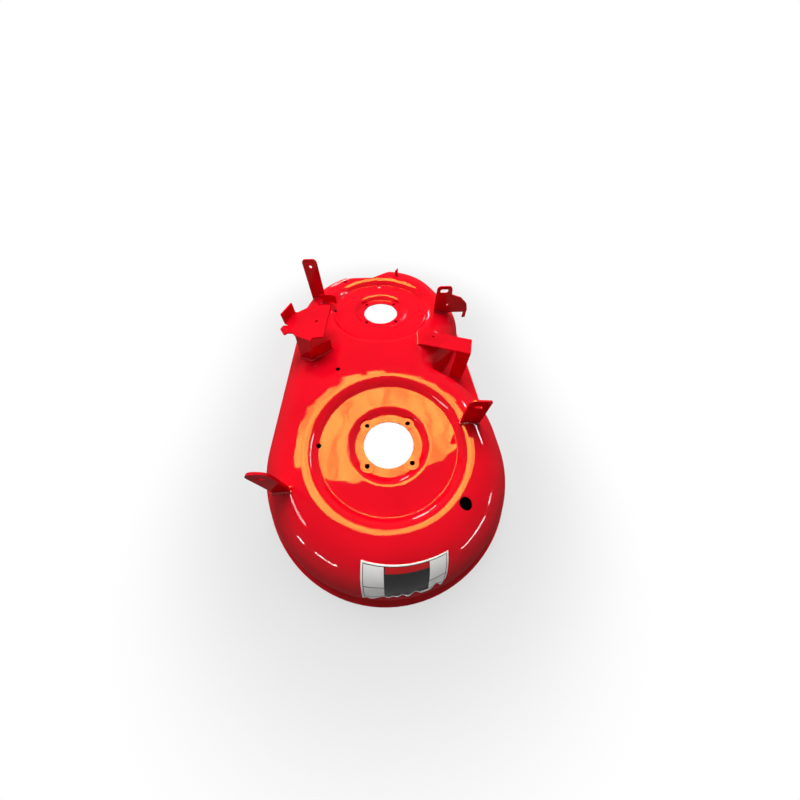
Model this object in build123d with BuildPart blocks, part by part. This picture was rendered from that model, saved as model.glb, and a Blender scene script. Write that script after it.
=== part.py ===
from build123d import *
import os
from math import acos, atan2, cos, degrees, hypot, radians, sin, sqrt, tan

# Twin-spindle lawn mower deck: one drawn steel shell and the brackets welded to it, in millimetres.
# The origin is the centre of the left spindle bore on the top face of its seat.  +X points to the
# rear of the mower, +Y to its right side along the two spindles, and +Z up.

# Shell, as one drawn sheet
sheet = 2.7
spindle_gap = 530
deck_depth = 121          # lip to crown
crown_rise = 33           # crown above the spindle seats
wall_r = 301              # skirt wall round each spindle
shoulder_r = 88           # round between crown and wall
front_set = 4.5           # straight front edge, out from the two wall circles
rear_set = 9              # flattened rear sides, in from the two wall circles
waist_r = 25              # inner corner between the two rear rounds
lip_w = 15                # flange round the foot of the wall

# Bulge of the right end, on the rear side of the discharge
lobe_r = 222
lobe_reach = 11.6         # how far it stands out past the wall circle
lobe_az = 71.7            # its direction from the right spindle, from +X

# Dish and seat round each spindle
crown_w = 26.5            # crown between shoulder and dish
crown_round = 38          # roll of the crown's inner edge down into the dish
dish_w = 19.5             # width of the dish's sloping side
dish_rise = 13.5          # floor of the dish above the seat
floor_round = 20          # roll of the floor's inner edge
step_w = 16               # width of the cone from the floor down to the seat
bend_r = 3.5              # inside radius of the bends in the dish
seat_w = 21
bore_r = 62
bolt_count = 4
bolt_inset = 13           # bolt centres, out from the edge of the bore
bolt_hole_r = 6
pad_r = 17                # round pad at each bolt
pad_rise = 1.2

# Flattened roof over the discharge, from the right spindle, and the opening in the wall below it
roof_set = 194            # upper edge of the roof
roof_slope = 30
hip_at = (-28, 192)       # where the side of the bulge meets that edge
hip_heading = 35          # line of the bulge's side in plan
hip_slope = 45
mouth_w = 160
mouth_h = 54
mouth_x = -70
mouth_round = 14

# Holes in the shell
port_r = 13               # hose port, from the left spindle
port_reach, port_az = 214, -46
pilot_r = 6               # pierced holes in the dishes
far_pilot_set = 155
crown_hole_r = 6.5
crown_hole_at = (-134, 226)
chute_hole_at = (-135, 166)

# Three upright ears that hang the deck, with heights above the crown
ear_w = 48
ear_plate = 5
ear_turn = -6             # turn of the two left ears in plan
ear_slot_w, ear_slot_len = 9, 18
ear_hole_r = 5
ear_round = 12
ear_tip_round = 30        # front corner of the left front ear
ear_corner = 3            # rear corner of the left rear ear
front_ear_inset = 70      # middle of a front ear, in from the wall circle
front_left_y, front_left_h, front_left_drop = -101, 113, 30
rear_ear_inset = 96
rear_left_y, rear_left_h, rear_left_drop = 28, 94, 23
front_right_set, front_right_h, front_right_drop = 70, 129, 24

# Folded strip beside the right front ear
strip_plate = 3
strip_h = 31
strip_set = 25            # beyond the right spindle
strip_inset, strip_len = 83, 44
strip_rake = 11
strip_end, strip_end_turn = 16, 30

# Front bracket: a raised plate with a leg, a side wing, a horn turned up and a hook turned down.
# Its corners in plan are measured from the front edge, midway between the spindles.
bracket_plate = 4
bracket_h = 81
foot_at = (59, 20)
leg_w, leg_heading = 41, -27.8
leg_head_w, leg_skew = 50, 11
wing_len, wing_heading, wing_h = 70, 38, 38
cheek_at = (60, 27)
hook_near, hook_far, hook_len, hook_tilt, hook_taper = (46.5, 29), (29, 60), 14, 33, 7
slit_end = (47, 60)
horn_near, horn_far, horn_h = (29.5, 71.5), (47.5, 124), 28
plate_dip = (58.5, 119)
plate_far_front, plate_far_notch, plate_far_rear = (109, 162), (115, 147), (153, 152)
plate_near_rear, plate_near_notch = (145, 7), (116, 5)
bracket_hole_r, bracket_hole_at = 4.5, (119, 74)

# Rear right hanger: an upright plate with a slotted head and a hooked tail.
# Its profile is measured from the rear edge of the wall and up from the crown.
hanger_plate = 5
hanger_set = -49          # from the right spindle
head_in, head_w, head_h, head_round = 102, 50, 93, 12
head_slot_w, head_slot_len, head_slot_drop = 13, 28, 16
hanger_foot_w = 55
hanger_neck, hanger_back, hanger_tail = (-48, 64), (-13, 52), (11, 30)
tail_out, tail_h = 19, 7
bed_drop = 3              # free lower edge, below the crown
hook_w, hook_drop = 11, 26
hanger_hole_r, hanger_hole_at = 4, (-58, 26)

# Rear bridge from the crown over the waist, with a leg down to the rear flange.
# Its corners in plan are measured from the middle of the waist's round.
bridge_plate = 4
bridge_left_near, bridge_left_far = (-77, 52), (-72, 120)
bridge_kink, bridge_right_near, bridge_right_far = (39, 11), (78, -5), (99, 59)
bridge_hole_r, bridge_hole_at = 4.5, (-25, 80)

# Upright tab on the bulge
tab_w, tab_plate, tab_h, tab_slant = 12, 4, 29, 11
tab_at = (46.5, 121)      # from the middle of the bulge

# Levels, radii and places that follow from those
lip_z = crown_rise - deck_depth
mid_y = spindle_gap/2
dish_r = wall_r - shoulder_r - crown_w
crease_r = dish_r - dish_w
seat_r = bore_r + seat_w
step_r = seat_r + step_w
bolt_r = bore_r + bolt_inset
left_spindle, right_spindle = (0, 0), (0, spindle_gap)
front_edge = -wall_r - front_set
rear_edge = wall_r - rear_set
waist_x = sqrt((wall_r + waist_r)**2 - mid_y**2)
lobe_off = wall_r + lobe_reach - lobe_r
lobe_at = (lobe_off*cos(radians(lobe_az)), spindle_gap + lobe_off*sin(radians(lobe_az)))
through = 2*deck_depth    # length of a cutter that passes right through the deck


def polar(centre, radius, angle):
    """Point on a circle, with the angle in degrees from +X."""
    return (centre[0] + radius*cos(radians(angle)), centre[1] + radius*sin(radians(angle)))


def shifted(origin, offset_xy):
    return (origin[0] + offset_xy[0], origin[1] + offset_xy[1])


def heading_of(p, q):
    return degrees(atan2(q[1] - p[1], q[0] - p[0]))


def distance(p, q):
    return hypot(q[0] - p[0], q[1] - p[1])


def upright_plane(at, heading):
    """Vertical plane through a point in plan: local x runs along the heading, local y up from the crown."""
    turn = radians(heading)
    return Plane((*at, crown_rise), x_dir=(cos(turn), sin(turn), 0), z_dir=(sin(turn), -cos(turn), 0))


def belt_angle(p, q, p_r, q_r, side):
    """Direction of the normal of the line that touches two circles on one side, like a belt."""
    return heading_of(p, q) + side*degrees(acos((p_r - q_r)/distance(p, q)))


def plan_outline(inset):
    """Outline of the wall from above, moved in by a distance, or out where it is negative."""
    r = wall_r - inset
    lean = 1 - cos(radians(45))
    front_k, rear_k = front_set/lean, rear_set/lean
    f, b = front_k*cos(radians(45)), rear_k*cos(radians(45))
    front_r, rear_r = r + front_k, r - rear_k
    bulge_r = lobe_r - inset
    neck = degrees(atan2(mid_y, waist_x))
    rear_right = (b, spindle_gap - b)
    n1 = belt_angle(rear_right, lobe_at, rear_r, bulge_r, -1)
    n2 = belt_angle(right_spindle, lobe_at, r, bulge_r, 1)
    with BuildSketch() as plan:
        with BuildLine():
            CenterArc(left_spindle, r, 225, 90)
            CenterArc((b, -b), rear_r, 315, 45)
            Line((b + rear_r, -b), (b + rear_r, b))
            CenterArc((b, b), rear_r, 0, 45)
            CenterArc(left_spindle, r, 45, neck - 45)
            CenterArc((waist_x, mid_y), waist_r + inset, 180 + neck, -2*neck)
            CenterArc(right_spindle, r, -neck, neck - 45)
            CenterArc(rear_right, rear_r, -45, 45 + n1)
            Line(polar(rear_right, rear_r, n1), polar(lobe_at, bulge_r, n1))
            CenterArc(lobe_at, bulge_r, n1, n2 - n1)
            Line(polar(lobe_at, bulge_r, n2), polar(right_spindle, r, n2))
            CenterArc(right_spindle, r, n2, 135 - n2)
            CenterArc((f, spindle_gap - f), front_r, 135, 45)
            Line((f - front_r, spindle_gap - f), (f - front_r, f))
            CenterArc((f, f), front_r, 180, 45)
        make_face()
    return plan.sketch


def dish_tool(inset):
    """Everything above one dish and its seat, as a turned solid about the spindle."""
    slope = atan2(crown_rise - dish_rise, dish_w)
    step = atan2(dish_rise, step_w)
    side_shift, step_shift = inset*tan(slope/2), inset*tan(step/2)
    top = deck_depth
    seat_edge = (seat_r + step_shift, -inset)
    floor_edge = (step_r + step_shift, dish_rise - inset)
    crease = (crease_r + side_shift, dish_rise - inset)
    rim = (dish_r + side_shift, crown_rise - inset)
    with BuildPart() as tool:
        with BuildSketch(Plane.XZ) as profile:
            with BuildLine():
                Polyline((0, top), (0, -inset), seat_edge, floor_edge, crease, rim,
                         (rim[0] + (top - rim[1])/tan(slope), top), close=True)
            make_face()
            valley = bend_r + inset
            for corner, bend in ((seat_edge, valley), (floor_edge, floor_round - inset), (crease, valley)):
                fillet(profile.vertices().sort_by_distance(corner)[0], bend)
        revolve(axis=Axis.Z)
    return tool.part


def roof_tool(inset):
    """What the flattened roof takes off the right end: all that lies above two sloping planes."""
    slope, hip, heading = radians(roof_slope), radians(hip_slope), radians(hip_heading)
    roof_up = Vector(0, sin(slope), cos(slope))
    hip_up = Vector(-sin(heading)*sin(hip), cos(heading)*sin(hip), cos(hip))
    roof_edge = Vector(0, spindle_gap + roof_set, crown_rise)
    hip_edge = Vector(*shifted(right_spindle, hip_at), crown_rise)
    with BuildPart() as tool:
        with Locations((0, spindle_gap + wall_r, crown_rise)):
            Box(4*wall_r, 2*wall_r, 4*deck_depth)
        split(bisect_by=Plane(roof_edge - roof_up*inset, z_dir=roof_up), keep=Keep.TOP)
        split(bisect_by=Plane(hip_edge - hip_up*inset, z_dir=hip_up), keep=Keep.TOP)
    return tool.part


def drawn_form(inset):
    """The solid under the deck's skin; inset by the sheet it is the hollow inside."""
    top = crown_rise - inset
    rim_r = dish_r + inset*tan(atan2(crown_rise - dish_rise, dish_w)/2)
    with BuildPart() as form:
        with BuildSketch(Plane.XY.offset(lip_z)):
            add(plan_outline(inset))
        extrude(amount=top - lip_z)
        fillet(form.faces().sort_by(Axis.Z)[-1].edges(), shoulder_r - inset)
        with Locations(left_spindle, right_spindle):
            add(dish_tool(inset), mode=Mode.SUBTRACT)
        rims = form.edges().filter_by(GeomType.CIRCLE).filter_by(
            lambda edge: abs(edge.center().Z - top) < 0.01 and abs(edge.radius - rim_r) < 0.1)
        fillet(rims, crown_round - inset)
        with Locations(left_spindle, right_spindle):
            with PolarLocations(bolt_r, bolt_count, start_angle=45):
                with Locations((0, 0, pad_rise - inset)):
                    Cylinder(pad_r + inset, deck_depth, align=(Align.CENTER, Align.CENTER, Align.MIN),
                             mode=Mode.SUBTRACT)
                    Cylinder(pad_r, pad_rise + sheet, align=(Align.CENTER, Align.CENTER, Align.MAX))
        add(roof_tool(inset), mode=Mode.SUBTRACT)
    return form.part


skin = drawn_form(0)

with BuildPart() as deck_shell:
    add(skin)
    with BuildSketch(Plane.XY.offset(lip_z)):
        add(plan_outline(-lip_w))
        Rectangle(rear_edge + lip_w, spindle_gap, align=(Align.MIN, Align.MIN))
    extrude(amount=sheet)
    add(drawn_form(sheet), mode=Mode.SUBTRACT)
    with Locations(left_spindle, right_spindle):
        Cylinder(bore_r, through, mode=Mode.SUBTRACT)
        with PolarLocations(bolt_r, bolt_count, start_angle=45):
            Cylinder(bolt_hole_r, through, mode=Mode.SUBTRACT)
    with Locations(polar(left_spindle, port_reach, port_az)):
        Cylinder(port_r, through, mode=Mode.SUBTRACT)
    with Locations((-crease_r, 0), (-crease_r, spindle_gap), (0, spindle_gap + far_pilot_set)):
        Cylinder(pilot_r, through, mode=Mode.SUBTRACT)
    with Locations(crown_hole_at, shifted(right_spindle, chute_hole_at)):
        Cylinder(crown_hole_r, through, mode=Mode.SUBTRACT)
    with BuildSketch(Plane.XZ.offset(-spindle_gap - crease_r)):
        with Locations((mouth_x, lip_z)):
            RectangleRounded(mouth_w, 2*mouth_h, mouth_round)
    extrude(amount=-2*wall_r, mode=Mode.SUBTRACT)
deck_shell.part.label = "deck_shell"


def ear_blank(plane, height, front_round, rear_round):
    """An upright ear before its hole is cut, with its foot shaped to the deck's skin."""
    with BuildPart() as ear:
        with BuildSketch(plane) as face:
            with Locations((0, -deck_depth)):
                Rectangle(ear_w, deck_depth + height, align=(Align.CENTER, Align.MIN))
            fillet(face.vertices().group_by(Axis.Y)[-1].sort_by(Axis.X)[0], front_round)
            fillet(face.vertices().group_by(Axis.Y)[-1].sort_by(Axis.X)[-1], rear_round)
        extrude(amount=-ear_plate)
        add(skin, mode=Mode.SUBTRACT)
    return ear.part


front_left_plane = upright_plane((front_ear_inset - wall_r, front_left_y), ear_turn)
with BuildPart() as front_left_ear:
    add(ear_blank(front_left_plane, front_left_h, ear_tip_round, ear_round))
    with BuildSketch(front_left_plane):
        with Locations((0, front_left_h - front_left_drop)):
            SlotOverall(ear_slot_len, ear_slot_w)
    extrude(amount=-ear_plate, mode=Mode.SUBTRACT)
front_left_ear.part.label = "front_left_ear"

rear_left_plane = upright_plane((wall_r - rear_ear_inset, rear_left_y), ear_turn)
with BuildPart() as rear_left_ear:
    add(ear_blank(rear_left_plane, rear_left_h, ear_round, ear_corner))
    with BuildSketch(rear_left_plane):
        with Locations((0, rear_left_h - rear_left_drop)):
            SlotOverall(ear_slot_len, ear_slot_w)
    extrude(amount=-ear_plate, mode=Mode.SUBTRACT)
rear_left_ear.part.label = "rear_left_ear"

front_right_plane = upright_plane((front_ear_inset - wall_r, spindle_gap + front_right_set), 0)
with BuildPart() as front_right_ear:
    add(ear_blank(front_right_plane, front_right_h, ear_round, ear_round))
    with BuildSketch(front_right_plane):
        with Locations((0, front_right_h - front_right_drop)):
            Circle(ear_hole_r)
    extrude(amount=-ear_plate, mode=Mode.SUBTRACT)
front_right_ear.part.label = "front_right_ear"

strip_start = (strip_inset - wall_r, spindle_gap + strip_set)
strip_fold = shifted(strip_start, (strip_len, 0))
with BuildPart() as front_right_strip:
    with BuildSketch(Plane.XY.offset(crown_rise)):
        with BuildLine():
            Polyline(strip_start, strip_fold, polar(strip_fold, strip_end, -strip_end_turn))
            offset(amount=strip_plate, side=Side.LEFT)
        make_face()
    extrude(amount=strip_h)
    raked = Plane((*strip_start, crown_rise + strip_h), z_dir=(strip_h, 0, strip_rake))
    split(bisect_by=raked, keep=Keep.TOP)
front_right_strip.part.label = "front_right_strip"

bracket_base = (front_edge, mid_y)
leg_foot = shifted(bracket_base, foot_at)
leg_corner = polar(leg_foot, leg_w, leg_heading)
leg_head = [polar(leg_foot, along, leg_heading) for along in (leg_skew + leg_head_w, leg_skew)]
hook_edge = [shifted(bracket_base, end) for end in (hook_near, hook_far)]
horn_edge = [shifted(bracket_base, end) for end in (horn_near, horn_far)]
plate_rest = [shifted(bracket_base, corner) for corner in (
    plate_dip, plate_far_front, plate_far_notch, plate_far_rear, plate_near_rear, plate_near_notch)]
plate_plane = Plane.XY.offset(crown_rise + bracket_h)
hook_along = Vector(*hook_edge[1]) - Vector(*hook_edge[0])
hook_out = Vector(0, 0, 1).cross(hook_along).normalized()
hook_up = hook_out*sin(radians(hook_tilt)) + Vector(0, 0, cos(radians(hook_tilt)))
hook_plane = Plane((*hook_edge[0], crown_rise + bracket_h), x_dir=hook_along, z_dir=hook_up)
with BuildPart() as front_bracket:
    with BuildSketch(plate_plane):
        with BuildLine():
            Polyline(*leg_head, shifted(bracket_base, cheek_at), *hook_edge, shifted(bracket_base, slit_end),
                     *horn_edge, *plate_rest, close=True)
        make_face()
        with Locations(shifted(bracket_base, bracket_hole_at)):
            Circle(bracket_hole_r, mode=Mode.SUBTRACT)
    extrude(amount=-bracket_plate)
    with BuildSketch(hook_plane):
        with BuildLine():
            Polyline((0, 0), (hook_along.length, 0), (hook_along.length, hook_len), (hook_taper, hook_len), close=True)
        make_face()
    extrude(amount=-bracket_plate)
    with BuildSketch(upright_plane(horn_edge[0], heading_of(*horn_edge))):
        with Locations((0, bracket_h - bracket_plate)):
            Rectangle(distance(*horn_edge), horn_h + bracket_plate, align=Align.MIN)
    extrude(amount=bracket_plate)
    with BuildSketch(upright_plane(leg_foot, leg_heading)):
        with BuildLine():
            Polyline((0, -deck_depth), (leg_w, -deck_depth), (leg_w, 0), (leg_skew + leg_head_w, bracket_h),
                     (leg_skew, bracket_h), (0, 0), close=True)
        make_face()
    extrude(amount=-bracket_plate)
    with BuildSketch(upright_plane(leg_corner, wing_heading)):
        with Locations((0, -deck_depth)):
            Rectangle(wing_len, deck_depth + wing_h, align=Align.MIN)
    extrude(amount=-bracket_plate)
    add(skin, mode=Mode.SUBTRACT)
front_bracket.part.label = "front_bracket"

head_left = -head_in
head_right = head_left + head_w
foot_right = head_left + hanger_foot_w
hook_in = tail_out - hook_w
with BuildPart() as rear_right_hanger:
    with BuildSketch(upright_plane((rear_edge, spindle_gap + hanger_set), 0)) as face:
        with BuildLine():
            Polyline((head_left, head_h), (head_left, -deck_depth), (foot_right, -deck_depth), (foot_right, -bed_drop),
                     (hook_in, -bed_drop), (hook_in, -hook_drop), (tail_out, -hook_drop), (tail_out, tail_h),
                     hanger_tail, hanger_back, hanger_neck, (head_right, head_h), close=True)
        make_face()
        fillet(face.vertices().group_by(Axis.Y)[-1], head_round)
        with Locations(((head_left + head_right)/2, head_h - head_slot_drop)):
            SlotOverall(head_slot_len, head_slot_w, mode=Mode.SUBTRACT)
        with Locations(hanger_hole_at):
            Circle(hanger_hole_r, mode=Mode.SUBTRACT)
    extrude(amount=-hanger_plate)
    add(skin, mode=Mode.SUBTRACT)
rear_right_hanger.part.label = "rear_right_hanger"

waist = (waist_x, mid_y)
bridge_edge = [shifted(waist, end) for end in (bridge_kink, bridge_right_near)]
with BuildPart() as rear_bridge:
    with BuildSketch(Plane.XY.offset(crown_rise)):
        with BuildLine():
            Polyline(shifted(waist, bridge_left_near), *bridge_edge, shifted(waist, bridge_right_far),
                     shifted(waist, bridge_left_far), close=True)
        make_face()
        with Locations(shifted(waist, bridge_hole_at)):
            Circle(bridge_hole_r, mode=Mode.SUBTRACT)
    extrude(amount=bridge_plate)
    with BuildSketch(upright_plane(bridge_edge[0], heading_of(*bridge_edge))):
        with Locations((0, sheet - deck_depth)):
            Rectangle(distance(*bridge_edge), deck_depth - sheet + bridge_plate, align=Align.MIN)
    extrude(amount=-bridge_plate)
rear_bridge.part.label = "rear_bridge"

with BuildPart() as chute_tab:
    with BuildSketch(upright_plane(shifted(lobe_at, tab_at), 0)):
        with BuildLine():
            Polyline((-tab_w/2, 0), (tab_w/2, 0), (tab_w/2, tab_h), (-tab_w/2, tab_h - tab_slant), close=True)
        make_face()
    extrude(amount=-tab_plate)
chute_tab.part.label = "chute_tab"

os.makedirs("parts", exist_ok=True)
export_step(deck_shell.part, "parts/deck_shell.step")
export_step(front_left_ear.part, "parts/front_left_ear.step")
export_step(rear_left_ear.part, "parts/rear_left_ear.step")
export_step(front_right_ear.part, "parts/front_right_ear.step")
export_step(front_right_strip.part, "parts/front_right_strip.step")
export_step(front_bracket.part, "parts/front_bracket.step")
export_step(rear_right_hanger.part, "parts/rear_right_hanger.step")
export_step(rear_bridge.part, "parts/rear_bridge.step")
export_step(chute_tab.part, "parts/chute_tab.step")
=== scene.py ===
"""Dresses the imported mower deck: gloss red paint, weld beads, a blank decal and a plain studio stage."""

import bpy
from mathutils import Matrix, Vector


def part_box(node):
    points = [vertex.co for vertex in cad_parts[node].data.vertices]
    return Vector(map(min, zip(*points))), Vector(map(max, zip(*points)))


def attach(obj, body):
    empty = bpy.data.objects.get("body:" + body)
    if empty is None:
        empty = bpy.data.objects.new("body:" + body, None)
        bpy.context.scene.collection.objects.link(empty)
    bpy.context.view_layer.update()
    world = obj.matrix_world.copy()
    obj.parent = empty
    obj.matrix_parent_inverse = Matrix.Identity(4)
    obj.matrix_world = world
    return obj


bl_info = {
    "name": "Mower deck",
    "version": (1, 0, 0),
    "blender": (4, 5, 0),
    "location": "View3D > Sidebar > Mower deck",
    "description": "Paint, weld beads, decal and stage for a twin-spindle mower deck",
    "category": "Object",
}

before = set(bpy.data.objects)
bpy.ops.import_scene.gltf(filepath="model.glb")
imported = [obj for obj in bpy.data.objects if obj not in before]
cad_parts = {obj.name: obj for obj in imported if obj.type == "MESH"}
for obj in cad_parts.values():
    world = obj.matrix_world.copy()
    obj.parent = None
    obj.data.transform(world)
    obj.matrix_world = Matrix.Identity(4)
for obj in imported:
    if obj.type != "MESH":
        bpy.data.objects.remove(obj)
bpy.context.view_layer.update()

from math import cos, hypot, pi, radians, sin

import bpy
from bpy.props import FloatProperty, FloatVectorProperty, IntProperty, PointerProperty
from bpy.types import Operator, Panel, PropertyGroup
from mathutils import Matrix, Vector
from mathutils.bvhtree import BVHTree

MM = 0.001
BODY = "root"
LIP_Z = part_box("deck_shell")[0].z          # the flange's underside, where the deck rests
ABOVE_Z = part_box("deck_shell")[1].z + 0.1

# Camera solved from the photograph: place in metres, and its right, down and forward directions
CAMERA_AT = (-0.00786, -0.22624, 0.53223)
CAMERA_RIGHT = (0.99670, -0.07826, 0.02122)
CAMERA_DOWN = (-0.05269, -0.82398, -0.56410)
CAMERA_FORWARD = (0.06163, 0.56113, -0.82540)
CAMERA_SENSOR = 36.0
CAMERA_LENS = 10.237
CAMERA_SHIFT = (0.0035, -0.0022)
CAMERA_CLIP = (0.01, 100.0)

# Weld lines in plan, in millimetres, along the foot of each plate; each bead lies on the shell's skin
WELDS = (
    ((-255.0, -100.0), (-207.3, -105.0)), ((-254.2, -92.0), (-206.4, -97.0)),   # left front ear, both faces
    ((181.0, 29.0), (228.7, 24.0)), ((181.8, 37.0), (229.5, 32.0)),             # left rear ear
    ((-255.0, 598.5), (-207.0, 598.5)), ((-255.0, 606.5), (-207.0, 606.5)),     # right front ear
    ((-217.0, 553.5), (-198.0, 553.5)),                                         # strip
    ((-247.0, 283.8), (-210.7, 264.6), (-154.5, 307.6)),                        # front bracket's leg and wing
    ((191.0, 479.5), (244.0, 479.5)), ((191.0, 487.5), (244.0, 487.5)),         # rear hanger
    ((111.5, 317.0), (116.0, 372.0)),                                           # bridge, on the crown
    ((228.4, 274.6), (267.4, 258.6)),                                           # bridge's leg, on the flange
    ((69.0, 735.5), (81.0, 735.5)),                                             # tab
)

WELD_STEP = 4                              # millimetres between two points of a path on the skin
WELD_LIFT = 0.001                          # middle of a bead above the skin

# One ripple of a bead: sides and rings of its mesh, its length, width and height, and how its size varies
RIPPLE_SIDES, RIPPLE_RINGS = 12, 8
RIPPLE_SHAPE = (0.62, 1.0, 0.70)
RIPPLE_SPREAD = (0.8, 1.2)

# Paint: clouds of colour and specks of gloss per metre, the specks' range of roughness, and the clear gloss
CLOUD_SCALE, SPECK_SCALE = 7.0, 160.0
SPECK_ROUGHNESS = (0.7, 1.4)
GLOSS_IOR, GLOSS_ROUGHNESS = 2.4, 0.03

# Round of the shoulder at the left end: distance of its middle from the spindle, radius and height
SHOULDER_IN, SHOULDER_R, SHOULDER_Z = 0.213, 0.088, -0.055

# Corners of the decal on the shoulder: direction from the left spindle and slope of the skin, in degrees
DECAL_TOP = ((-105.3, 17.3), (-66.9, 24.0))
DECAL_FOOT = ((-102.6, 66.5), (-72.0, 59.0))
DECAL_COLUMNS, DECAL_ROWS = 90, 36
DECAL_PROUD, DECAL_FILM = 0.0004, 0.0002   # gap under the decal, and its thickness

# Lower edge of the decal, in shares of its size: where it comes loose, how deep it is torn, and the depth
# and width of its folded corner.  A wave has a count, a start, and the sway and count of a slower wave.
LOOSE_FROM, TORN_DEPTH = 0.76, 0.10
FOLD_DEPTH, FOLD_WIDTH = 0.05, 0.06
LIFT_WAVE = (5.3, 0.35, 1.7, 2.1)
TORN_WAVE = (4.6, 0.35, 1.2, 3.3)

# Fields of the decal, in shares of its size: left, right, top and foot
PRINT_FIELD = (0.022, 0.978, 0.045, 0.945)
PALE_FIELDS = ((0.030, 0.258, 0.064, 0.585), (0.030, 0.258, 0.605, 0.926),
               (0.770, 0.970, 0.064, 0.640), (0.770, 0.970, 0.660, 0.926))
BAND_FIELD = (0.272, 0.756, 0.064, 0.225)
PRINT_GRAIN = 900.0
PAPER_DULL, INK_FADE = 0.88, 0.02          # paper at its dullest, and what fading adds to the ink
DECAL_ROUGHNESS, DECAL_SPECULAR = (0.28, 0.42), 0.2

# Soft lamps: direction and height from the left spindle in degrees, distance and width
SOFT_LAMPS = {
    "key": (90.0, 62.0, 2.9, 1.8),
    "side": (152.0, 28.0, 3.0, 1.2),
    "top": (-90.0, 76.0, 3.0, 1.5),
}

# Lamps that draw the highlights: direction and height from the left spindle, length, width and share of power
STRIPS = {
    "left_strip": (-130.0, 16.5, 0.74, 0.13, 1.1),
    "left_short_strip": (-149.0, 11.0, 0.36, 0.10, 0.6),
    "left_panel": (-169.0, 42.0, 1.00, 0.22, 0.9),
    "right_strip": (-38.0, 16.0, 1.30, 0.18, 1.8),
    "right_short_strip": (-15.0, 19.0, 0.40, 0.15, 0.6),
    "far_strip": (35.0, 40.0, 1.00, 0.12, 1.6),
    "front_panel": (101.0, 8.0, 0.60, 0.35, 1.4),
}
STRIP_REACH = 3.2

# Warm card: height, middle, radius, and its near edge as a curve of Y over X
CARD_Z, CARD_AT, CARD_R, CARD_NEAR = 2.5, (-0.03, 1.12), 1.25, (0.57, 0.10, 0.25)
CARD_ARC = range(-2, 194, 4)               # directions of the points on its round edge, in degrees
CARD_NEAR_STEPS = 24
CARD_GRAIN = (7.0, 1.5, 1.0)               # grain per metre along X, Y and Z
CARD_TONES = (0.55, 1.12)                  # darkest and lightest grain

# Floor: its size, the painted shade under the deck (a near-black of the paint's red, for the deck's shadow
# and its red bounce), and distances from the line between the spindles at which the painted shade ends, the
# floor turns pale past the skirt, and it has turned plain white
FLOOR_R, FLOOR_SIDES = 30.0, 96
SPINDLE_GAP = 0.530
# painted shade: share of the paint's colour laid on the floor under the deck
PAINTED_FLOOR_SHADE = 0.02
PAINTED_SHADE_EDGE, SKIRT_EDGE, WHITE_EDGE = (0.27, 0.30), (0.300, 0.315), (0.32, 0.66)
WHITE_NEAR = 0.66                          # share of plain white just past the skirt
BORE_FLOORS = (0.037, 0.655)               # middles of the floor that shows through the two spindle bores
BORE_EDGE = (0.0765, 0.0715)

# Background: heights of a view's direction between which it fades, and its brightness at each
ROOM_HEIGHTS, ROOM_PALE = (0.15, 0.75), (1.0, 0.55)


class DeckPaintSettings(PropertyGroup):
    colour: FloatVectorProperty(name="Paint colour", description="Colour of the sprayed paint",
                                subtype="COLOR", size=3, min=0, max=1, default=(0.86, 0.002, 0.014))
    shade: FloatVectorProperty(name="Thin paint colour", description="Colour where the paint lies thinner",
                               subtype="COLOR", size=3, min=0, max=1, default=(0.66, 0.001, 0.009))
    roughness: FloatProperty(name="Roughness", description="Roughness of the paint's surface",
                             subtype="FACTOR", min=0, max=1, default=0.10)
    gloss: FloatProperty(name="Gloss", description="Strength of the clear gloss on the paint",
                         subtype="FACTOR", min=0, max=1, default=0.05)
    peel_size: FloatProperty(name="Orange peel size", description="Width of one ripple in the paint",
                             unit="LENGTH", min=0.0005, max=0.02, default=0.006)
    peel_depth: FloatProperty(name="Orange peel depth", description="Depth of the ripples in the paint",
                              unit="LENGTH", min=0, max=0.001, default=0.00002)
    wave_size: FloatProperty(name="Wave size", description="Width of one slow wave left by drawing the sheet",
                             unit="LENGTH", min=0.01, max=0.5, default=0.055)
    wave_depth: FloatProperty(name="Wave depth", description="Depth of the slow waves in the sheet",
                              unit="LENGTH", min=0, max=0.005, default=0.0008)


class DeckWeldSettings(PropertyGroup):
    width: FloatProperty(name="Bead width", description="Half the width of a weld bead", unit="LENGTH",
                         min=0.001, max=0.01, default=0.0042)
    pitch: FloatProperty(name="Ripple pitch", description="Distance between two ripples along a bead",
                         unit="LENGTH", min=0.001, max=0.01, default=0.0034)
    seed: IntProperty(name="Seed", description="Seed of the ripples' uneven size", default=7)


class DeckDecalSettings(PropertyGroup):
    paper: FloatVectorProperty(name="Paper colour", description="Colour of the border and the side fields",
                               subtype="COLOR", size=3, min=0, max=1, default=(1.0, 0.98, 0.95))
    ink: FloatVectorProperty(name="Dark field", description="Colour of the middle field and the thin lines",
                             subtype="COLOR", size=3, min=0, max=1, default=(0.012, 0.012, 0.014))
    band: FloatVectorProperty(name="Upper band", description="Colour of the band along the top",
                              subtype="COLOR", size=3, min=0, max=1, default=(0.60, 0.008, 0.012))
    lift: FloatProperty(name="Edge lift", description="How far the lower edge has come away from the shell",
                        unit="LENGTH", min=0, max=0.005, default=0.0026)


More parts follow.
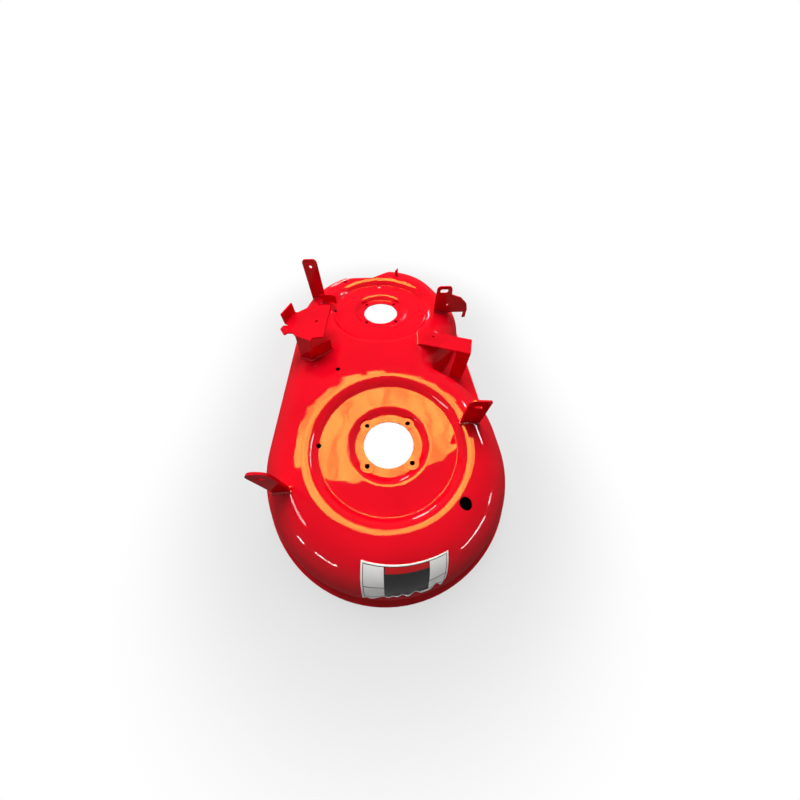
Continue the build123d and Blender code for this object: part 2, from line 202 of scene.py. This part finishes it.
class DeckStageSettings(PropertyGroup):
    paper: FloatVectorProperty(name="Floor colour",
                               description="Colour of the floor where it is not plain white",
                               subtype="COLOR", size=3, min=0, max=1, default=(0.40, 0.40, 0.40))
    key: FloatProperty(name="Key light", description="Power of the soft light above the far end", min=0,
                       default=88.0)
    side: FloatProperty(name="Side light", description="Power of the soft light at the front", min=0,
                        default=17.0)
    top: FloatProperty(name="Top light", description="Power of the soft light above the near end", min=0,
                       default=6.0)
    strip: FloatProperty(name="Strip lights", description="Power of a strip light", min=0, default=36.0)
    sky: FloatProperty(name="Room light", description="Strength of the even light from all round", min=0,
                       default=0.06)
    card: FloatVectorProperty(name="Card colour",
                              description="Colour of the warm card that the gloss mirrors",
                              subtype="COLOR", size=3, min=0, max=1, default=(1.0, 0.86, 0.15))
    card_strength: FloatProperty(name="Card strength", description="Brightness of the warm card", min=0,
                                 default=48.0)


def link(obj):
    """Puts an object in the scene."""
    bpy.context.scene.collection.objects.link(obj)
    return obj


def grown(obj, name):
    """The evaluated mesh of an object as a new plain object, with the old one removed."""
    mesh = bpy.data.meshes.new_from_object(obj.evaluated_get(bpy.context.evaluated_depsgraph_get()))
    mesh.name = name
    bpy.data.objects.remove(obj)
    return link(bpy.data.objects.new(name, mesh))


def shell_tree():
    """Search tree over the shell's triangles, for setting things down on its skin."""
    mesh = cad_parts["deck_shell"].data
    mesh.calc_loop_triangles()
    points = [vertex.co.copy() for vertex in mesh.vertices]
    return BVHTree.FromPolygons(points, [triangle.vertices[:] for triangle in mesh.loop_triangles])


class Shader:
    """The node tree of a new material, or of a given world, with short calls for the nodes used here."""

    def __init__(self, owner):
        self.material = bpy.data.materials.new(owner) if isinstance(owner, str) else owner
        self.material.use_nodes = True
        self.nodes = self.material.node_tree.nodes
        self.links = self.material.node_tree.links
        self.surface = self.nodes.get("Principled BSDF")

    def add(self, kind, **settings):
        node = self.nodes.new(kind)
        for key, value in settings.items():
            setattr(node, key, value)
        return node

    def join(self, source, target):
        self.links.new(source, target)

    def place(self):
        return self.add("ShaderNodeTexCoord").outputs["Object"]

    def apart(self, vector):
        node = self.add("ShaderNodeSeparateXYZ")
        self.join(vector, node.inputs[0])
        return node.outputs["X"], node.outputs["Y"], node.outputs["Z"]

    def noise(self, vector, scale, detail=3.0, rough=0.5):
        node = self.add("ShaderNodeTexNoise")
        node.inputs["Scale"].default_value = scale
        node.inputs["Detail"].default_value = detail
        node.inputs["Roughness"].default_value = rough
        self.join(vector, node.inputs["Vector"])
        return node.outputs["Fac"]

    def bump(self, height, depth, normal=None):
        node = self.add("ShaderNodeBump")
        node.inputs["Distance"].default_value = depth
        self.join(height, node.inputs["Height"])
        if normal:
            self.join(normal, node.inputs["Normal"])
        return node.outputs["Normal"]

    def span(self, value, low, high, out_low=0.0, out_high=1.0):
        """Smooth step of a value from one range to another."""
        node = self.add("ShaderNodeMapRange", interpolation_type="SMOOTHSTEP")
        limits = {"From Min": low, "From Max": high, "To Min": out_low, "To Max": out_high}
        for name, number in limits.items():
            node.inputs[name].default_value = number
        self.join(value, node.inputs["Value"])
        return node.outputs["Result"]

    def blend(self, factor, first, second):
        """Mix of two colours, each a socket or a plain colour."""
        node = self.add("ShaderNodeMix", data_type="RGBA")
        self.join(factor, node.inputs["Factor"])
        for socket, colour in ((node.inputs[6], first), (node.inputs[7], second)):
            if isinstance(colour, bpy.types.NodeSocket):
                self.join(colour, socket)
            else:
                socket.default_value = (*colour, 1.0)
        return node.outputs[2]

    def maths(self, operation, first, second=0.0):
        node = self.add("ShaderNodeMath", operation=operation)
        for socket, value in zip(node.inputs, (first, second)):
            if isinstance(value, bpy.types.NodeSocket):
                self.join(value, socket)
            else:
                socket.default_value = value
        return node.outputs[0]

    def seen(self):
        """One for the rays that show the background: from the camera, by reflection or through glass."""
        rays = self.add("ShaderNodeLightPath").outputs
        direct = self.maths("MAXIMUM", rays["Is Camera Ray"], rays["Is Glossy Ray"])
        return self.maths("MAXIMUM", direct, rays["Is Transmission Ray"])

    def reach(self, x, y):
        """Distance from the origin in plan."""
        square = self.maths("ADD", self.maths("MULTIPLY", x, x), self.maths("MULTIPLY", y, y))
        return self.maths("SQRT", square)


def paint(name, coarse=1.0, thin_and_shade=0.35, gloss=1.0):
    """Sprayed gloss paint: clouded colour, orange peel over slow waves, and specks of gloss."""
    settings = bpy.context.scene.deck_paint
    s = Shader(name)
    at = s.place()
    # the clouds are the paint's own uneven tone; on the brackets they are laid deeper as painted shade
    cloud = s.span(s.noise(at, CLOUD_SCALE, 4.0), 0.35, 0.75, 0.0, thin_and_shade)
    s.join(s.blend(cloud, tuple(settings.colour), tuple(settings.shade)), s.surface.inputs["Base Color"])
    rough = settings.roughness*coarse
    low, high = (rough*share for share in SPECK_ROUGHNESS)
    s.join(s.span(s.noise(at, SPECK_SCALE, 2.0), 0.3, 0.7, low, high), s.surface.inputs["Roughness"])
    wave = s.bump(s.noise(at, 1.0/settings.wave_size, 1.0, 0.4), settings.wave_depth)
    peel = s.bump(s.noise(at, 1.0/settings.peel_size, 2.0, 0.4), settings.peel_depth*coarse, wave)
    for socket in ("Normal", "Coat Normal"):
        s.join(peel, s.surface.inputs[socket])
    s.surface.inputs["Specular IOR Level"].default_value = 0.0
    s.surface.inputs["Coat Weight"].default_value = settings.gloss*gloss
    s.surface.inputs["Coat IOR"].default_value = GLOSS_IOR
    s.surface.inputs["Coat Roughness"].default_value = GLOSS_ROUGHNESS*coarse
    return s.material


def dress(node, material):
    """Puts a material on a CAD node."""
    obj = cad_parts[node]
    obj.data.materials.clear()
    obj.data.materials.append(material)


class DECK_OT_shell(Operator):
    """Gives the drawn shell its gloss paint"""
    bl_idname = "deck.shell"
    bl_label = "Shell"

    def execute(self, context):
        dress("deck_shell", paint("shell_paint"))
        return {"FINISHED"}


class DECK_OT_brackets(Operator):
    """Gives the welded brackets their paint: its clouds of thin paint are laid on deeper than on the shell,
    as painted shade of their upright faces
    """
    bl_idname = "deck.brackets"
    bl_label = "Brackets"

    def execute(self, context):
        # painted shade: the deeper clouds of thin-paint colour darken the brackets' upright faces
        material = paint("bracket_paint", coarse=2.0, thin_and_shade=0.7)
        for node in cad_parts:
            if node != "deck_shell":
                dress(node, material)
        return {"FINISHED"}


def bead_tree():
    """Ripples set side by side along a path, like a run of small coins pushed over."""
    tree = bpy.data.node_groups.new("weld_bead", "GeometryNodeTree")
    sockets = {}
    tree.interface.new_socket("Geometry", in_out="INPUT", socket_type="NodeSocketGeometry")
    for name, kind in (("Width", "NodeSocketFloat"), ("Pitch", "NodeSocketFloat"), ("Seed", "NodeSocketInt"),
                       ("Material", "NodeSocketMaterial")):
        sockets[name] = tree.interface.new_socket(name, in_out="INPUT", socket_type=kind).identifier
    tree.interface.new_socket("Geometry", in_out="OUTPUT", socket_type="NodeSocketGeometry")
    add, join = tree.nodes.new, tree.links.new
    given, made = add("NodeGroupInput"), add("NodeGroupOutput")
    path, points = add("GeometryNodeMeshToCurve"), add("GeometryNodeResampleCurve")
    points.mode = "LENGTH"
    coin = add("GeometryNodeMeshUVSphere")
    coin.inputs["Segments"].default_value, coin.inputs["Rings"].default_value = RIPPLE_SIDES, RIPPLE_RINGS
    coin.inputs["Radius"].default_value = 1.0
    along, turn = add("GeometryNodeInputTangent"), add("FunctionNodeAlignRotationToVector")
    turn.axis = "X"
    uneven = add("FunctionNodeRandomValue")
    uneven.inputs[2].default_value, uneven.inputs[3].default_value = RIPPLE_SPREAD
    size, shape = add("ShaderNodeMath"), add("ShaderNodeVectorMath")
    size.operation, shape.operation = "MULTIPLY", "SCALE"
    shape.inputs[0].default_value = RIPPLE_SHAPE
    place, solid = add("GeometryNodeInstanceOnPoints"), add("GeometryNodeRealizeInstances")
    smooth, finish = add("GeometryNodeSetShadeSmooth"), add("GeometryNodeSetMaterial")
    join(given.outputs["Geometry"], path.inputs[0])
    join(path.outputs[0], points.inputs["Curve"])
    join(given.outputs["Pitch"], points.inputs["Length"])
    join(points.outputs[0], place.inputs["Points"])
    join(coin.outputs["Mesh"], place.inputs["Instance"])
    join(along.outputs[0], turn.inputs["Vector"])
    join(turn.outputs[0], place.inputs["Rotation"])
    join(given.outputs["Seed"], uneven.inputs["Seed"])
    join(given.outputs["Width"], size.inputs[0])
    join(uneven.outputs[1], size.inputs[1])
    join(size.outputs[0], shape.inputs["Scale"])
    join(shape.outputs[0], place.inputs["Scale"])
    join(place.outputs[0], solid.inputs[0])
    join(solid.outputs[0], smooth.inputs[0])
    join(smooth.outputs[0], finish.inputs["Geometry"])
    join(given.outputs["Material"], finish.inputs["Material"])
    join(finish.outputs[0], made.inputs[0])
    return tree, sockets


def weld_paths():
    """The weld lines laid on the shell's skin, as points and the edges between them."""
    skin = shell_tree()
    points, edges = [], []
    for line in WELDS:
        for (x0, y0), (x1, y1) in zip(line, line[1:]):
            steps = max(2, round(hypot(x1 - x0, y1 - y0)/WELD_STEP))
            for i in range(steps + 1):
                x, y = x0 + (x1 - x0)*i/steps, y0 + (y1 - y0)*i/steps
                hit = skin.ray_cast(Vector((x*MM, y*MM, ABOVE_Z)), Vector((0, 0, -1)))[0]
                if i:
                    edges.append((len(points) - 1, len(points)))
                points.append(hit + Vector((0, 0, WELD_LIFT)))
    return points, edges


class DECK_OT_welds(Operator):
    """Runs a weld bead along the foot of each bracket"""
    bl_idname = "deck.welds"
    bl_label = "Weld beads"

    def execute(self, context):
        settings = context.scene.deck_weld
        mesh = bpy.data.meshes.new("weld_paths")
        mesh.from_pydata(*weld_paths(), [])
        obj = link(bpy.data.objects.new("weld_paths", mesh))
        tree, sockets = bead_tree()
        modifier = obj.modifiers.new("beads", "NODES")
        modifier.node_group = tree
        modifier[sockets["Width"]] = settings.width
        modifier[sockets["Pitch"]] = settings.pitch
        modifier[sockets["Seed"]] = settings.seed
        modifier[sockets["Material"]] = paint("weld_paint", coarse=1.5, thin_and_shade=0.9, gloss=3.0)
        beads = grown(obj, "weld_beads")
        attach(beads, BODY)
        return {"FINISHED"}


def decal_point(u, v, proud):
    """Point on the shoulder at a share of the decal's width and height, standing proud of the skin."""
    low, high = [[a + (b - a)*u for a, b in zip(*edge)] for edge in (DECAL_TOP, DECAL_FOOT)]
    azimuth, slope = (radians(a + (b - a)*v) for a, b in zip(low, high))
    reach = SHOULDER_IN + (SHOULDER_R + proud)*sin(slope)
    return Vector((reach*cos(azimuth), reach*sin(azimuth), SHOULDER_Z + (SHOULDER_R + proud)*cos(slope)))


def ripple(u, count, start, sway, slow):
    """A wandering wave across the decal, from 0 to 1."""
    return 0.5 + 0.5*sin(2*pi*(count*u + start) + sway*sin(2*pi*slow*u))


def decal_film():
    """Printed vinyl with plain fields of colour: a border, two pale sides, a band and a dark middle."""
    settings = bpy.context.scene.deck_decal
    s = Shader("decal_film")
    u, v, _ = s.apart(s.add("ShaderNodeTexCoord").outputs["UV"])
    grain = s.noise(s.place(), PRINT_GRAIN, 2.0)

    def inside(value, low, high):
        return s.maths("MULTIPLY", s.maths("GREATER_THAN", value, low), s.maths("LESS_THAN", value, high))

    def field(left, right, top, foot):
        return s.maths("MULTIPLY", inside(u, left, right), inside(v, top, foot))

    paper, ink, band = tuple(settings.paper), tuple(settings.ink), tuple(settings.band)
    tint = s.blend(s.span(grain, 0.3, 0.8, 0.0, 0.25), paper, tuple(c*PAPER_DULL for c in paper))
    faded = s.blend(s.span(grain, 0.35, 0.8, 0.0, 0.5), ink, tuple(c + INK_FADE for c in ink))
    colour = s.blend(field(*PRINT_FIELD), tint, faded)
    for pale in PALE_FIELDS:
        colour = s.blend(field(*pale), colour, tint)
    colour = s.blend(field(*BAND_FIELD), colour, band)
    s.join(colour, s.surface.inputs["Base Color"])
    s.join(s.span(grain, 0.2, 0.8, *DECAL_ROUGHNESS), s.surface.inputs["Roughness"])
    s.surface.inputs["Specular IOR Level"].default_value = DECAL_SPECULAR
    return s.material


class DECK_OT_decal(Operator):
    """Sticks a blank decal on the near shoulder, with its lower edge wrinkled and lifting"""
    bl_idname = "deck.decal"
    bl_label = "Decal"

    def execute(self, context):
        settings = context.scene.deck_decal
        points, shares, faces = [], [], []
        for row in range(DECAL_ROWS + 1):
            for column in range(DECAL_COLUMNS + 1):
                u, v = column/DECAL_COLUMNS, row/DECAL_ROWS
                loose = max(0.0, (v - LOOSE_FROM)/(1 - LOOSE_FROM))**2
                torn = TORN_DEPTH*loose*ripple(u, *TORN_WAVE)
                fold = FOLD_DEPTH*loose*max(0.0, 1 - u/FOLD_WIDTH)
                proud = DECAL_PROUD + settings.lift*loose*ripple(u, *LIFT_WAVE)
                points.append(decal_point(u, v - torn + fold, proud))
                shares.append((u, v))
        across = DECAL_COLUMNS + 1
        for row in range(DECAL_ROWS):
            for column in range(DECAL_COLUMNS):
                a = row*across + column
                faces.append((a, a + across, a + across + 1, a + 1))
        mesh = bpy.data.meshes.new("decal")
        mesh.from_pydata(points, [], faces)
        layer = mesh.uv_layers.new(name="decal")
        for loop in mesh.loops:
            layer.data[loop.index].uv = shares[loop.vertex_index]
        mesh.materials.append(decal_film())
        mesh.shade_smooth()
        obj = link(bpy.data.objects.new("decal_sheet", mesh))
        film = obj.modifiers.new("film", "SOLIDIFY")
        film.thickness, film.offset = DECAL_FILM, 1.0
        decal = grown(obj, "decal")
        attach(decal, BODY)
        return {"FINISHED"}


def lamp(name, azimuth, elevation, reach, size, power):
    """A flat lamp at a direction from the left spindle, turned to face it."""
    data = bpy.data.lights.new(name, "AREA")
    data.shape, data.size, data.size_y, data.energy = "RECTANGLE", size[0], size[1], power
    obj = link(bpy.data.objects.new(name, data))
    a, e = radians(azimuth), radians(elevation)
    back = Vector((cos(a)*cos(e), sin(a)*cos(e), sin(e)))
    obj.location = back*reach
    obj.rotation_euler = back.to_track_quat("Z", "Y").to_euler()
    return obj


class DECK_OT_stage(Operator):
    """Sets up the floor, the warm card, the lamps, the background and the camera"""
    bl_idname = "deck.stage"
    bl_label = "Stage"

    def execute(self, context):
        settings = context.scene.deck_stage
        context.scene.view_settings.view_transform = "Standard"
        self.floor(settings)
        self.card(settings)
        self.lights(settings)
        self.room(context, settings)
        self.camera(context)
        return {"FINISHED"}

    def paper(self, settings):
        """Pale paper that turns plain white away from the deck and keeps the deck's shadow near it; under the
        deck its colour is painted shade, a near-black of the paint's red.
        """
        s = Shader("floor_paper")
        s.surface.inputs["Roughness"].default_value = 1.0
        s.surface.inputs["Specular IOR Level"].default_value = 0.0
        x, y, _ = s.apart(s.place())
        half = SPINDLE_GAP/2
        beyond = s.maths("SUBTRACT", s.maths("ABSOLUTE", s.maths("SUBTRACT", y, half)), half)
        out = s.reach(x, s.maths("MAXIMUM", beyond, 0.0))
        # painted shade and painted red bounce: the floor under the deck is coloured a near-black of the
        # paint's red
        painted_shade = tuple(PAINTED_FLOOR_SHADE*c for c in bpy.context.scene.deck_paint.colour)
        tint = s.blend(s.span(out, *PAINTED_SHADE_EDGE), painted_shade, tuple(settings.paper))
        s.join(tint, s.surface.inputs["Base Color"])
        pale = s.span(out, *SKIRT_EDGE, 0.0, WHITE_NEAR)
        white = s.maths("ADD", pale, s.span(out, *WHITE_EDGE, 0.0, 1.0 - WHITE_NEAR))
        for bore_y in BORE_FLOORS:
            from_bore = s.reach(x, s.maths("SUBTRACT", y, bore_y))
            white = s.maths("MAXIMUM", white, s.span(from_bore, *BORE_EDGE))
        mix = s.add("ShaderNodeMixShader")
        s.join(s.maths("MULTIPLY", s.seen(), white), mix.inputs[0])
        s.join(s.surface.outputs[0], mix.inputs[1])
        s.join(s.add("ShaderNodeEmission").outputs[0], mix.inputs[2])
        s.join(mix.outputs[0], s.nodes["Material Output"].inputs["Surface"])
        return s.material

    def floor(self, settings):
        """A round level floor at the flange's underside."""
        turns = [2*pi*i/FLOOR_SIDES for i in range(FLOOR_SIDES)]
        points = [(FLOOR_R*cos(t), FLOOR_R*sin(t), LIP_Z) for t in turns]
        mesh = bpy.data.meshes.new("floor")
        mesh.from_pydata(points, [], [tuple(range(FLOOR_SIDES))])
        mesh.materials.append(self.paper(settings))
        link(bpy.data.objects.new("floor", mesh))

    def card(self, settings):
        """A warm card overhead, round with a hollow near edge, which only the gloss mirrors."""
        (x, y), r = CARD_AT, CARD_R
        turns = [radians(a) for a in CARD_ARC]
        outline = [(x + r*cos(t), y + r*sin(t)) for t in turns]
        first, last = outline[-1][0], outline[0][0]
        for i in range(1, CARD_NEAR_STEPS):
            across = first + (last - first)*i/CARD_NEAR_STEPS
            outline.append((across, CARD_NEAR[0] + CARD_NEAR[1]*across + CARD_NEAR[2]*across**2))
        s = Shader("warm_card")
        stretch = s.add("ShaderNodeMapping")
        stretch.inputs["Scale"].default_value = CARD_GRAIN
        s.join(s.place(), stretch.inputs["Vector"])
        grain = s.span(s.noise(stretch.outputs[0], 1.0, 4.0, 0.6), 0.32, 0.62, *CARD_TONES)
        glow = s.add("ShaderNodeEmission")
        glow.inputs["Color"].default_value = (*settings.card, 1.0)
        s.join(s.maths("MULTIPLY", grain, settings.card_strength), glow.inputs["Strength"])
        s.join(glow.outputs[0], s.nodes["Material Output"].inputs["Surface"])
        mesh = bpy.data.meshes.new("warm_card")
        mesh.from_pydata([(px, py, CARD_Z) for px, py in outline], [], [tuple(range(len(outline)))])
        mesh.materials.append(s.material)
        obj = link(bpy.data.objects.new("warm_card", mesh))
        obj.visible_camera = obj.visible_diffuse = obj.visible_shadow = False

    def lights(self, settings):
        """Soft lamps that light the deck, and narrow ones that only its gloss mirrors."""
        for name, (azimuth, elevation, reach, width) in SOFT_LAMPS.items():
            soft = lamp(f"{name}_light", azimuth, elevation, reach, (width, width), getattr(settings, name))
            soft.visible_glossy = False
        for name, (azimuth, elevation, length, width, share) in STRIPS.items():
            strip = lamp(name, azimuth, elevation, STRIP_REACH, (length, width), settings.strip*share)
            strip.visible_diffuse = False

    def room(self, context, settings):
        """Even dim light from all round, and a pale background that is white at the floor's edge."""
        context.scene.world = bpy.data.worlds.new("room")
        s = Shader(context.scene.world)
        _, _, high = s.apart(s.add("ShaderNodeTexCoord").outputs["Generated"])
        even = s.nodes["Background"]
        even.inputs["Color"].default_value = (1.0, 1.0, 1.0, 1.0)
        pale = s.maths("SUBTRACT", s.span(high, *ROOM_HEIGHTS, *ROOM_PALE), settings.sky)
        s.join(s.maths("ADD", s.maths("MULTIPLY", s.seen(), pale), settings.sky), even.inputs["Strength"])

    def camera(self, context):
        """The camera at the photograph's viewing angle."""
        data = bpy.data.cameras.new("camera")
        data.sensor_width, data.lens = CAMERA_SENSOR, CAMERA_LENS
        data.shift_x, data.shift_y = CAMERA_SHIFT
        data.clip_start, data.clip_end = CAMERA_CLIP
        obj = link(bpy.data.objects.new("camera", data))
        axes = Matrix((CAMERA_RIGHT, [-d for d in CAMERA_DOWN], [-f for f in CAMERA_FORWARD])).transposed()
        obj.matrix_world = Matrix.Translation(CAMERA_AT) @ axes.to_4x4()
        context.scene.camera = obj


PIECES = (DECK_OT_shell, DECK_OT_brackets, DECK_OT_welds, DECK_OT_decal, DECK_OT_stage)
SETTINGS = (("deck_paint", DeckPaintSettings), ("deck_weld", DeckWeldSettings),
            ("deck_decal", DeckDecalSettings), ("deck_stage", DeckStageSettings))


class DECK_PT_panel(Panel):
    """Lists the deck's pieces and their settings"""
    bl_label = "Mower deck"
    bl_idname = "DECK_PT_panel"
    bl_space_type = "VIEW_3D"
    bl_region_type = "UI"
    bl_category = "Mower deck"

    def draw(self, context):
        for operator in PIECES:
            self.layout.operator(operator.bl_idname)
        for name, group in SETTINGS:
            box = self.layout.box()
            for key in group.__annotations__:
                box.prop(getattr(context.scene, name), key)


def register():
    for name, group in SETTINGS:
        bpy.utils.register_class(group)
        setattr(bpy.types.Scene, name, PointerProperty(type=group))
    for cls in (*PIECES, DECK_PT_panel):
        bpy.utils.register_class(cls)


def unregister():
    for cls in reversed((*PIECES, DECK_PT_panel)):
        bpy.utils.unregister_class(cls)
    for name, group in reversed(SETTINGS):
        delattr(bpy.types.Scene, name)
        bpy.utils.unregister_class(group)


def main():
    register()
    bpy.ops.deck.shell()
    bpy.ops.deck.brackets()
    bpy.ops.deck.welds()
    bpy.ops.deck.decal()
    bpy.ops.deck.stage()


if __name__ == "__main__":
    main()
